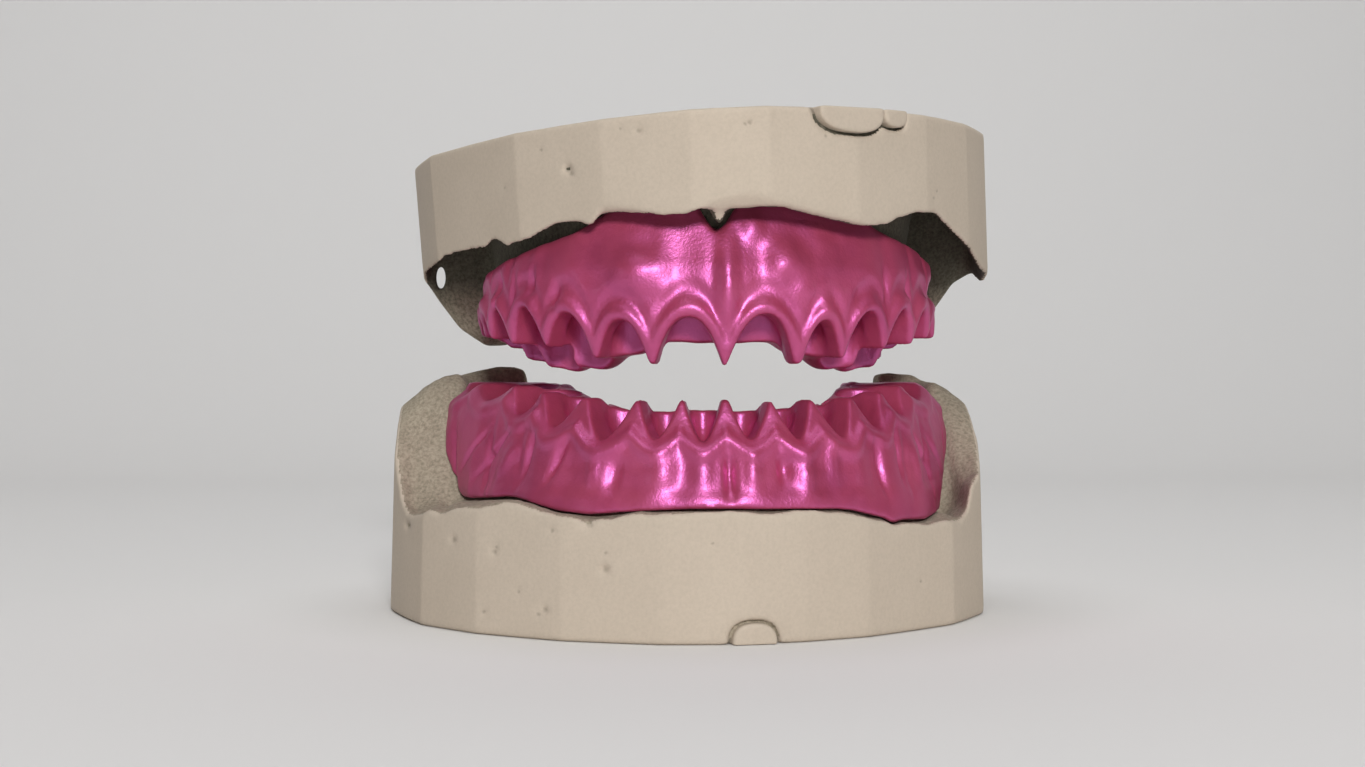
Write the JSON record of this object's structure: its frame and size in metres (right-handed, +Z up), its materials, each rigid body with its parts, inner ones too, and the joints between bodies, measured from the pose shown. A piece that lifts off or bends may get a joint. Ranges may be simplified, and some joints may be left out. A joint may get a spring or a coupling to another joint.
{
  "type": "edentulous cast pair with denture bases",
  "caption": "Pair of trimmed dental stone casts of a toothless mouth, upper over lower, each with a gum-coloured denture base whose tooth sockets are open.",
  "frame": {"origin": "on the flat base of the lower cast, on the midline of the ridges and level front to back with the widest line of its plan", "axes": "+Z up, +Y towards the back of the mouth, +X to the viewer's right seen from the front"},
  "size_m": [0.0858, 0.0657, 0.0671],
  "materials": {
    "dental_stone": "matte",
    "denture_pink": "gloss"
  },
  "bodies": {
    "lower_cast": {"lower_cast": "dental_stone", "lower_cast_stone_bead": "dental_stone"},
    "lower_denture_base": {"lower_denture_base": "denture_pink"},
    "upper_cast": {"upper_cast": "dental_stone", "upper_cast_stone_bead_large": "dental_stone", "upper_cast_stone_bead_small": "dental_stone"},
    "upper_denture_base": {"upper_denture_base": "denture_pink"}
  },
  "joints": [
    {"name": "upper_cast_lift", "type": "slide", "parent": "lower_cast", "child": "upper_cast", "axis": [0, 0, 1], "range_m": [0, 0.072]},
    {"name": "lower_base_lift", "type": "slide", "parent": "lower_cast", "child": "lower_denture_base", "axis": [0, 0, 1], "range_m": [0, 0.024]},
    {"name": "upper_base_release", "type": "slide", "parent": "upper_cast", "child": "upper_denture_base", "axis": [0, 0, -1], "range_m": [0, 0.024]}
  ],
  "couplings": [
    {"joint": "lower_base_lift", "follows": "upper_cast_lift", "ratio": 0.33333},
    {"joint": "upper_base_release", "follows": "upper_cast_lift", "ratio": 0.33333}
  ]
}
